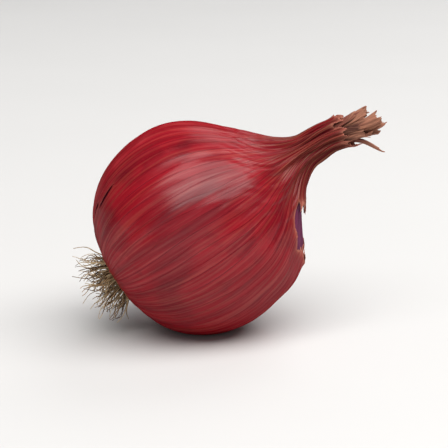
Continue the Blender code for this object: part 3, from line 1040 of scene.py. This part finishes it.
def leaf_strip(index, settings, chance):
    """One dried leaf end: a ribbed strip round the neck that flares past its mouth and ends ragged."""
    strip = add_sheet(f"leaf_{index}", *LEAF_FACES)
    flat = coordinates(strip)
    across, share = flat[:, 0], flat[:, 1] + 0.5
    ring = index % len(LEAF_RADII)
    width = LEAF_WIDTHS[ring] * chance.uniform(*LEAF_WIDTH_SPREAD)
    middle = math.tau * index / settings.count + chance.uniform(-LEAF_TURN_SPREAD, LEAF_TURN_SPREAD)
    tip = NECK_TIP - chance.uniform(0.0, LEAF_SHORTER)
    ragged = jagged(across, LEAF_JAGS, chance)
    height = LEAF_FOOT + (tip - LEAF_FOOT) * share + ragged * share**3
    past = fade(height, LEAF_FREE, NECK_TIP)
    skew = chance.uniform(-LEAF_SKEW, LEAF_SKEW) * past
    turn = middle + width * (1 - LEAF_NARROWING * past) * across + skew
    swing, drift = LEAF_RIB_WANDER
    wander = swing * np.sin(drift * height + index)
    ribs = np.abs(np.cos(across * chance.uniform(*LEAF_RIB_COUNTS) + wander))
    start = chance.uniform(0, math.tau) + LEAF_WAVE_DRIFT * (height - MOUTH)
    wave = np.sin(start + across * chance.uniform(*LEAF_WAVE_COUNTS)) * (LEAF_WAVE_IN_NECK + past)
    flare = chance.uniform(*LEAF_FLARE) * past
    roll = chance.uniform(*LEAF_ROLL) * (across**2 - LEAF_ROLL_LEVEL) * (LEAF_ROLL_IN_NECK + past)
    out = LEAF_RADII[ring] + flare + roll + LEAF_RIB_HEIGHT * ribs + LEAF_WAVE_HEIGHT * wave
    points = tilted(grown(out * np.cos(turn), out * np.sin(turn), height, LEAF_PLEATS))
    if ring == 0:
        underneath = max(0.0, math.cos(middle))
        points[:, 2] -= LEAF_HANG * underneath * chance.uniform(LEAF_LEAST_HANG, 1.0) * past**2
    set_points(strip, points)
    add_attribute(strip, "shade", np.full(len(flat), chance.uniform(0.0, 1.0)))
    add_attribute(strip, "tip", np.clip(share + LEAF_TIP_EDGE * ragged, 0, 1) ** LEAF_TIP_STEEPNESS)
    apply_modifier(strip, "SOLIDIFY", thickness=settings.thickness, offset=0.0)
    return strip


class ONION_OT_leaves(bpy.types.Operator):
    """Stand the dried leaf ends in the mouth of the neck"""

    bl_idname = "onion.leaves"
    bl_label = "Leaf ends"

    def execute(self, context):
        settings = context.scene.onion_leaves
        chance = np.random.default_rng(SEED + 1)
        strips = [leaf_strip(index, settings, chance) for index in range(settings.count)]
        bundle = joined("leaf_ends", strips)
        finish_piece(bundle, leaf_finish(settings), "dried_leaf", "neck_leaves")
        return {"FINISHED"}


class ONION_OT_plate(bpy.types.Operator):
    """Set the corky plate in the root end"""

    bl_idname = "onion.plate"
    bl_label = "Root plate"

    def execute(self, context):
        settings = context.scene.onion_roots
        bpy.ops.object.select_all(action="DESELECT")
        bpy.ops.mesh.primitive_uv_sphere_add(
            segments=PLATE_SEGMENTS, ring_count=PLATE_RINGS, radius=settings.plate_radius
        )
        plate = context.object
        plate.name = plate.data.name = "root_plate"
        points = coordinates(plate)
        reach = np.hypot(points[:, 0], points[:, 1]) / settings.plate_radius
        turn = np.arctan2(points[:, 1], points[:, 0])
        rough = np.array([noise.noise(Vector(point) * PLATE_GRAIN) for point in points])
        rings = PLATE_RING_HEIGHT * np.cos(PLATE_RING_COUNT * reach) * (1 - reach) * (points[:, 2] < 0)
        lobes = sum(size * np.sin(count * turn + at) for count, size, at in PLATE_LOBES)
        points[:, :2] *= (1 + lobes)[:, None]
        points[:, 2] = PLATE_HEIGHT + points[:, 2] * PLATE_FLATNESS - rings + PLATE_ROUGHNESS * rough
        set_points(plate, tilted(points))
        add_attribute(plate, "shade", PLATE_SHADE + PLATE_SHADE_SPREAD * rough)
        finish_piece(plate, root_finish(settings, "root_plate", PLATE_RELIEF_DEPTH), "root_fibre", "roots")
        return {"FINISHED"}


def rootlet_line(index, settings, chance):
    """Points of one rootlet, from its foot in the plate to its tip, and how thick it is at each."""
    share = math.sqrt((index + 0.5) / settings.count)
    turn = index * GOLDEN_TURN
    outward = np.array((math.cos(turn), math.sin(turn), 0.0))
    foot = ROOTLET_FEET * settings.plate_radius * share
    splay = ROOTLET_SPLAY * share * chance.uniform(ROOTLET_LEAST_SPLAY, 1.0)
    heading = outward * math.sin(splay) - np.array((0.0, 0.0, math.cos(splay)))
    first, second = ROOTLET_SIDE_TURNS
    side = np.cross(heading, (math.sin(first * turn), math.cos(second * turn), ROOTLET_SIDE_RISE))
    side /= np.linalg.norm(side)
    other = np.cross(heading, side)
    length = chance.uniform(*ROOTLET_LENGTHS)
    along = np.linspace(0, 1, ROOTLET_STEPS)[:, None]
    bowed = chance.uniform(0, math.tau) + chance.uniform(*ROOTLET_BOW_TURNS) * along
    bow = ROOTLET_BOW * along**ROOTLET_BOW_GROWTH * np.sin(bowed)
    kinked = chance.uniform(0, math.tau) + chance.uniform(*ROOTLET_KINK_TURNS) * along
    kink = ROOTLET_KINK * along * np.sin(kinked)
    start = outward * foot + np.array((0.0, 0.0, ROOT_END - ROOTLET_SUNK))
    points = tilted(start + heading * length * along + side * (bow + 0.5 * kink) + other * kink)
    thinned = 1 - ROOTLET_THINNING * along[:, 0] ** ROOTLET_TAPER
    thin = chance.uniform(ROOTLET_LEAST_THICKNESS, 1.0) * thinned
    above = (points[:, 2] - ROOTLET_LOWEST) / ROOTLET_EASING
    eased = ROOTLET_LOWEST + ROOTLET_EASING * np.exp(np.minimum(above, 1) - 1)
    points[:, 2] = np.where(above < 1, eased, points[:, 2])
    return points, thin


class ONION_OT_rootlets(bpy.types.Operator):
    """Grow the fine dry roots from the plate"""

    bl_idname = "onion.rootlets"
    bl_label = "Rootlets"

    def execute(self, context):
        settings = context.scene.onion_roots
        chance = np.random.default_rng(SEED + 2)
        data = bpy.data.curves.new("rootlets", "CURVE")
        data.dimensions = "3D"
        data.bevel_depth = settings.thickness / 2
        data.bevel_resolution = 1
        data.use_fill_caps = True
        shades = []
        for index in range(settings.count):
            points, thin = rootlet_line(index, settings, chance)
            spline = data.splines.new("POLY")
            spline.points.add(len(points) - 1)
            for knot, point, radius in zip(spline.points, points, thin):
                knot.co = (*point, 1.0)
                knot.radius = radius
            shades.append(chance.uniform(0.0, 1.0))
        lines = bpy.data.objects.new("rootlets", data)
        context.scene.collection.objects.link(lines)
        only(lines)
        bpy.ops.object.convert(target="MESH")
        tuft = context.object
        sides = len(tuft.data.vertices) // settings.count
        add_attribute(tuft, "shade", np.repeat(shades, sides))
        finish_piece(tuft, root_finish(settings, "rootlets", ROOTLET_RELIEF_DEPTH), "root_fibre", "roots")
        return {"FINISHED"}


def aim(obj, target):
    """Points a camera or light at a place."""
    obj.rotation_euler = (Vector(target) - obj.location).to_track_quat("-Z", "Y").to_euler()


def add_light(name, where, width, height, power, colour):
    """A soft oval light that shines on the onion."""
    data = bpy.data.lights.new(name, "AREA")
    data.shape = "ELLIPSE"
    data.size = width
    data.size_y = height
    data.energy = power
    data.color = colour
    light = bpy.data.objects.new(name, data)
    light.location = where
    bpy.context.scene.collection.objects.link(light)
    aim(light, HEART)


class ONION_OT_stage(bpy.types.Operator):
    """Set the pale floor, the soft lights and the camera"""

    bl_idname = "onion.stage"
    bl_label = "Stage"

    def execute(self, context):
        settings = context.scene.onion_stage
        bpy.ops.object.select_all(action="DESELECT")
        bpy.ops.mesh.primitive_plane_add(size=FLOOR_SIZE)
        floor = context.object
        floor.name = "floor"
        floor.data.materials.append(floor_finish(settings))
        for light in LIGHTS:
            add_light(*light)
        world = bpy.data.worlds.new("studio")
        world.use_nodes = True
        room = world.node_tree.nodes["Background"]
        room.inputs["Color"].default_value = ROOM_COLOUR
        room.inputs["Strength"].default_value = ROOM_LIGHT
        context.scene.world = world
        data = bpy.data.cameras.new("camera")
        data.lens = settings.lens
        camera = bpy.data.objects.new("camera", data)
        back = Vector((0.0, -math.cos(settings.elevation), math.sin(settings.elevation)))
        camera.location = HEART + settings.distance * back
        context.scene.collection.objects.link(camera)
        aim(camera, HEART)
        context.scene.camera = camera
        context.scene.view_settings.view_transform = "Standard"
        return {"FINISHED"}


class ONION_PT_panel(bpy.types.Panel):
    """Lists the onion's pieces and their settings in the sidebar"""

    bl_label = "Red onion"
    bl_space_type = "VIEW_3D"
    bl_region_type = "UI"
    bl_category = "Onion"

    def draw(self, context):
        for operator in OPERATORS:
            self.layout.operator(operator.bl_idname)
        for name, kind in SETTINGS.items():
            box = self.layout.box()
            for setting in kind.__annotations__:
                box.prop(getattr(context.scene, name), setting)


OPERATORS = (
    ONION_OT_scale,
    ONION_OT_skin,
    ONION_OT_leaves,
    ONION_OT_plate,
    ONION_OT_rootlets,
    ONION_OT_stage,
)
SETTINGS = {
    "onion_skin": SkinSettings,
    "onion_scale": ScaleSettings,
    "onion_leaves": LeafSettings,
    "onion_roots": RootSettings,
    "onion_stage": StageSettings,
}


def register():
    for kind in (*SETTINGS.values(), *OPERATORS, ONION_PT_panel):
        bpy.utils.register_class(kind)
    for name, kind in SETTINGS.items():
        setattr(bpy.types.Scene, name, PointerProperty(type=kind))


def unregister():
    for name in SETTINGS:
        delattr(bpy.types.Scene, name)
    for kind in (ONION_PT_panel, *reversed(OPERATORS), *reversed(SETTINGS.values())):
        bpy.utils.unregister_class(kind)


def main():
    register()
    bpy.ops.onion.scale()
    bpy.ops.onion.skin()
    bpy.ops.onion.leaves()
    bpy.ops.onion.plate()
    bpy.ops.onion.rootlets()
    bpy.ops.onion.stage()


if __name__ == "__main__":
    main()
